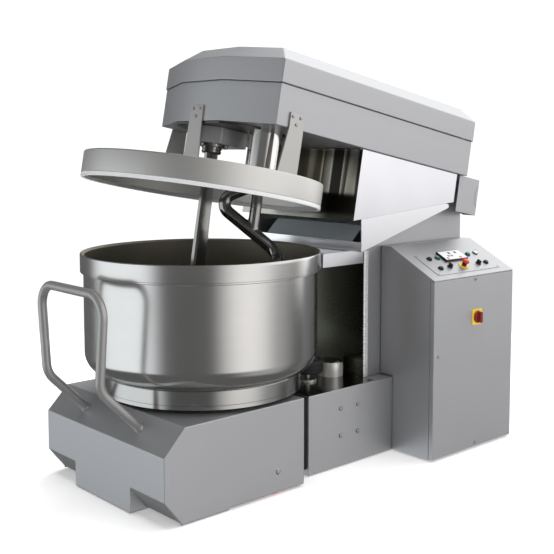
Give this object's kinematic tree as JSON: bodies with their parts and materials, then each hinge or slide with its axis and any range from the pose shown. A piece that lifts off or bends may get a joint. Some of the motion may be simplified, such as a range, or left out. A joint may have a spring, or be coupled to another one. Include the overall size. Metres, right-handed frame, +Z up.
{
  "type": "spiral dough mixer",
  "caption": "Floor-standing spiral dough mixer: tilting head with spiral, breaker bar and guard disc over a removable steel bowl on a wheeled trolley, with a side control cabinet.",
  "frame": {"origin": "bottom centre of the whole machine's box, on the floor", "axes": "+Z up, +X towards the electrical cabinet, +Y from the bowl towards the column at the back"},
  "size_m": [1.194, 2.186, 1.898],
  "materials": {
    "painted_grey": "hammered metallic grey powder coat",
    "satin_steel": "satin brushed stainless steel",
    "polished_steel": "bright polished stainless steel sheet",
    "dark_steel": "dark polished stainless steel",
    "tool_chrome": "mirror polished tool steel",
    "tube_grey": "grey metallic coated tube",
    "machined_steel": "machined steel",
    "cast_grey": "grey primed casting",
    "bronze": "bearing bronze",
    "black_rubber": "matt black rubber",
    "red_wheel": "red polyurethane",
    "white_plastic": "white plastic",
    "inner_blue_grey": "blue grey paint",
    "black_plastic": "black plastic",
    "green_plastic": "green plastic",
    "red_plastic": "red plastic",
    "yellow_plastic": "yellow plastic",
    "lamp_white": "translucent white lens"
  },
  "bodies": {
    "machine": {"base_frame": "painted_grey", "base_top_plate": "satin_steel", "levelling_feet": "machined_steel", "bowl_motor": "cast_grey", "column_frame": "painted_grey", "column_front_skin": "dark_steel", "hinge_shaft": "machined_steel", "neck_housing": "polished_steel", "neck_inner_cover": "inner_blue_grey", "neck_shelf": "satin_steel", "hydraulic_unit": "cast_grey", "trolley_body": "painted_grey", "trolley_handle": "tube_grey", "cabinet_shell": "painted_grey", "control_plate": "painted_grey", "display_panel": "black_plastic", "control_collars": "black_plastic", "pilot_lamp": "lamp_white", "estop_ring": "yellow_plastic", "electrical_gear": "white_plastic"},
    "bowl": {"bowl_shell": "satin_steel", "bowl_drive_ring": "polished_steel"},
    "drive_wheel": {"drive_wheel_hub": "machined_steel", "drive_wheel_tyre": "black_rubber"},
    "head": {"head_shell": "painted_grey", "head_lid": "painted_grey", "arm_frame": "cast_grey", "hinge_bushes": "bronze", "arm_casing": "polished_steel", "rear_hinge_cover": "painted_grey", "underside_plate": "dark_steel", "bar_block": "painted_grey", "bar_clamp": "tool_chrome", "breaker_bar": "tool_chrome", "spiral_housing": "polished_steel", "guard_disc": "satin_steel", "guard_lip": "white_plastic", "guard_straps": "satin_steel", "spiral_motor": "cast_grey", "drive_belt": "black_rubber"},
    "spiral": {"spiral_tool": "tool_chrome", "spiral_pulley": "machined_steel"},
    "motor_drive": {"motor_pulley": "machined_steel"},
    "lift_barrel": {"lift_cylinder": "cast_grey"},
    "lift_ram": {"lift_rod": "machined_steel"},
    "door": {"cabinet_door": "painted_grey", "switch_plate": "yellow_plastic"},
    "main_switch": {"main_switch_knob": "red_plastic"},
    "wheel_left": {"rear_wheel_left": "red_wheel"},
    "wheel_right": {"rear_wheel_right": "red_wheel"},
    "castor": {"castor_fork": "machined_steel"},
    "castor_roller": {"castor_wheel": "red_wheel"},
    "estop": {"estop_button": "red_plastic"},
    "button_black_1": {"button_black_1": "black_plastic"},
    "button_green_1": {"button_green_1": "green_plastic"},
    "button_green_2": {"button_green_2": "green_plastic"},
    "button_black_2": {"button_black_2": "black_plastic"},
    "button_black_3": {"button_black_3": "black_plastic"},
    "selector_1": {"selector_1": "black_plastic"},
    "selector_2": {"selector_2": "black_plastic"}
  },
  "joints": [
    {"name": "head_tilt", "type": "hinge", "parent": "machine", "child": "head", "pos_m": [-0.067, 0.85396, 1.124], "axis": [1, 0, 0], "range_deg": [-15.4, 10.6]},
    {"name": "bowl_spin", "type": "hinge", "parent": "machine", "child": "bowl", "pos_m": [-0.067, -0.41804, 0.404], "axis": [0, 0, 1], "continuous": true},
    {"name": "drive_wheel_spin", "type": "hinge", "parent": "machine", "child": "drive_wheel", "pos_m": [0.10157, 0.0743, 0.44], "axis": [0, 0, 1], "continuous": true},
    {"name": "spiral_spin", "type": "hinge", "parent": "head", "child": "spiral", "pos_m": [0.145, -0.26013, 1.30848], "axis": [0, 0.1843, 0.9829], "continuous": true},
    {"name": "motor_pulley_spin", "type": "hinge", "parent": "head", "child": "motor_drive", "pos_m": [0.063, 0.46904, 1.52379], "axis": [0, 0.1843, 0.9829], "continuous": true},
    {"name": "lift_pivot", "type": "hinge", "parent": "machine", "child": "lift_barrel", "pos_m": [-0.067, 0.58196, 0.48], "axis": [1, 0, 0], "range_deg": [-5, 3.6]},
    {"name": "lift_extend", "type": "slide", "parent": "lift_barrel", "child": "lift_ram", "axis": [0, -0.1476, 0.9891], "range_m": [-0.07, 0.1]},
    {"name": "door_hinge", "type": "hinge", "parent": "machine", "child": "door", "pos_m": [0.557, 1.04696, 0.43], "axis": [0, 0, 1], "range_deg": [0, 110]},
    {"name": "main_switch_turn", "type": "hinge", "parent": "door", "child": "main_switch", "pos_m": [0.57, 0.75796, 0.648], "axis": [1, 0, 0], "range_deg": [0, 90]},
    {"name": "button_black_1_press", "type": "slide", "parent": "machine", "child": "button_black_1", "axis": [-0.4633, 0, -0.8862], "range_m": [0, 0.004], "stiffness_N_per_m": 500},
    {"name": "button_green_1_press", "type": "slide", "parent": "machine", "child": "button_green_1", "axis": [-0.4633, 0, -0.8862], "range_m": [0, 0.004], "stiffness_N_per_m": 500},
    {"name": "button_green_2_press", "type": "slide", "parent": "machine", "child": "button_green_2", "axis": [-0.4633, 0, -0.8862], "range_m": [0, 0.004], "stiffness_N_per_m": 500},
    {"name": "button_black_2_press", "type": "slide", "parent": "machine", "child": "button_black_2", "axis": [-0.4633, 0, -0.8862], "range_m": [0, 0.004], "stiffness_N_per_m": 500},
    {"name": "button_black_3_press", "type": "slide", "parent": "machine", "child": "button_black_3", "axis": [-0.4633, 0, -0.8862], "range_m": [0, 0.004], "stiffness_N_per_m": 500},
    {"name": "selector_1_turn", "type": "hinge", "parent": "machine", "child": "selector_1", "pos_m": [0.49297, 0.63996, 0.89429], "axis": [0.4633, 0, 0.8862], "range_deg": [-45, 45]},
    {"name": "selector_2_turn", "type": "hinge", "parent": "machine", "child": "selector_2", "pos_m": [0.49651, 0.85896, 0.89244], "axis": [0.4633, 0, 0.8862], "range_deg": [-45, 45]},
    {"name": "estop_press", "type": "slide", "parent": "machine", "child": "estop", "axis": [-0.4633, 0, -0.8862], "range_m": [0, 0.005]},
    {"name": "wheel_left_roll", "type": "hinge", "parent": "machine", "child": "wheel_left", "pos_m": [-0.482, -0.36304, 0.1], "axis": [1, 0, 0], "continuous": true},
    {"name": "wheel_right_roll", "type": "hinge", "parent": "machine", "child": "wheel_right", "pos_m": [0.348, -0.36304, 0.1], "axis": [1, 0, 0], "continuous": true},
    {"name": "castor_swivel", "type": "hinge", "parent": "machine", "child": "castor", "pos_m": [-0.067, -0.82004, 0.15], "axis": [0, 0, 1], "continuous": true},
    {"name": "castor_roll", "type": "hinge", "parent": "castor", "child": "castor_roller", "pos_m": [-0.067, -0.78204, 0.062], "axis": [1, 0, 0], "continuous": true}
  ],
  "couplings": [
    {"joint": "drive_wheel_spin", "follows": "bowl_spin", "ratio": -5.9333},
    {"joint": "motor_pulley_spin", "follows": "spiral_spin", "ratio": 2.2},
    {"joint": "lift_pivot", "follows": "head_tilt", "ratio": 0.29},
    {"joint": "lift_extend", "follows": "head_tilt", "m_per_rad": -0.3557}
  ]
}
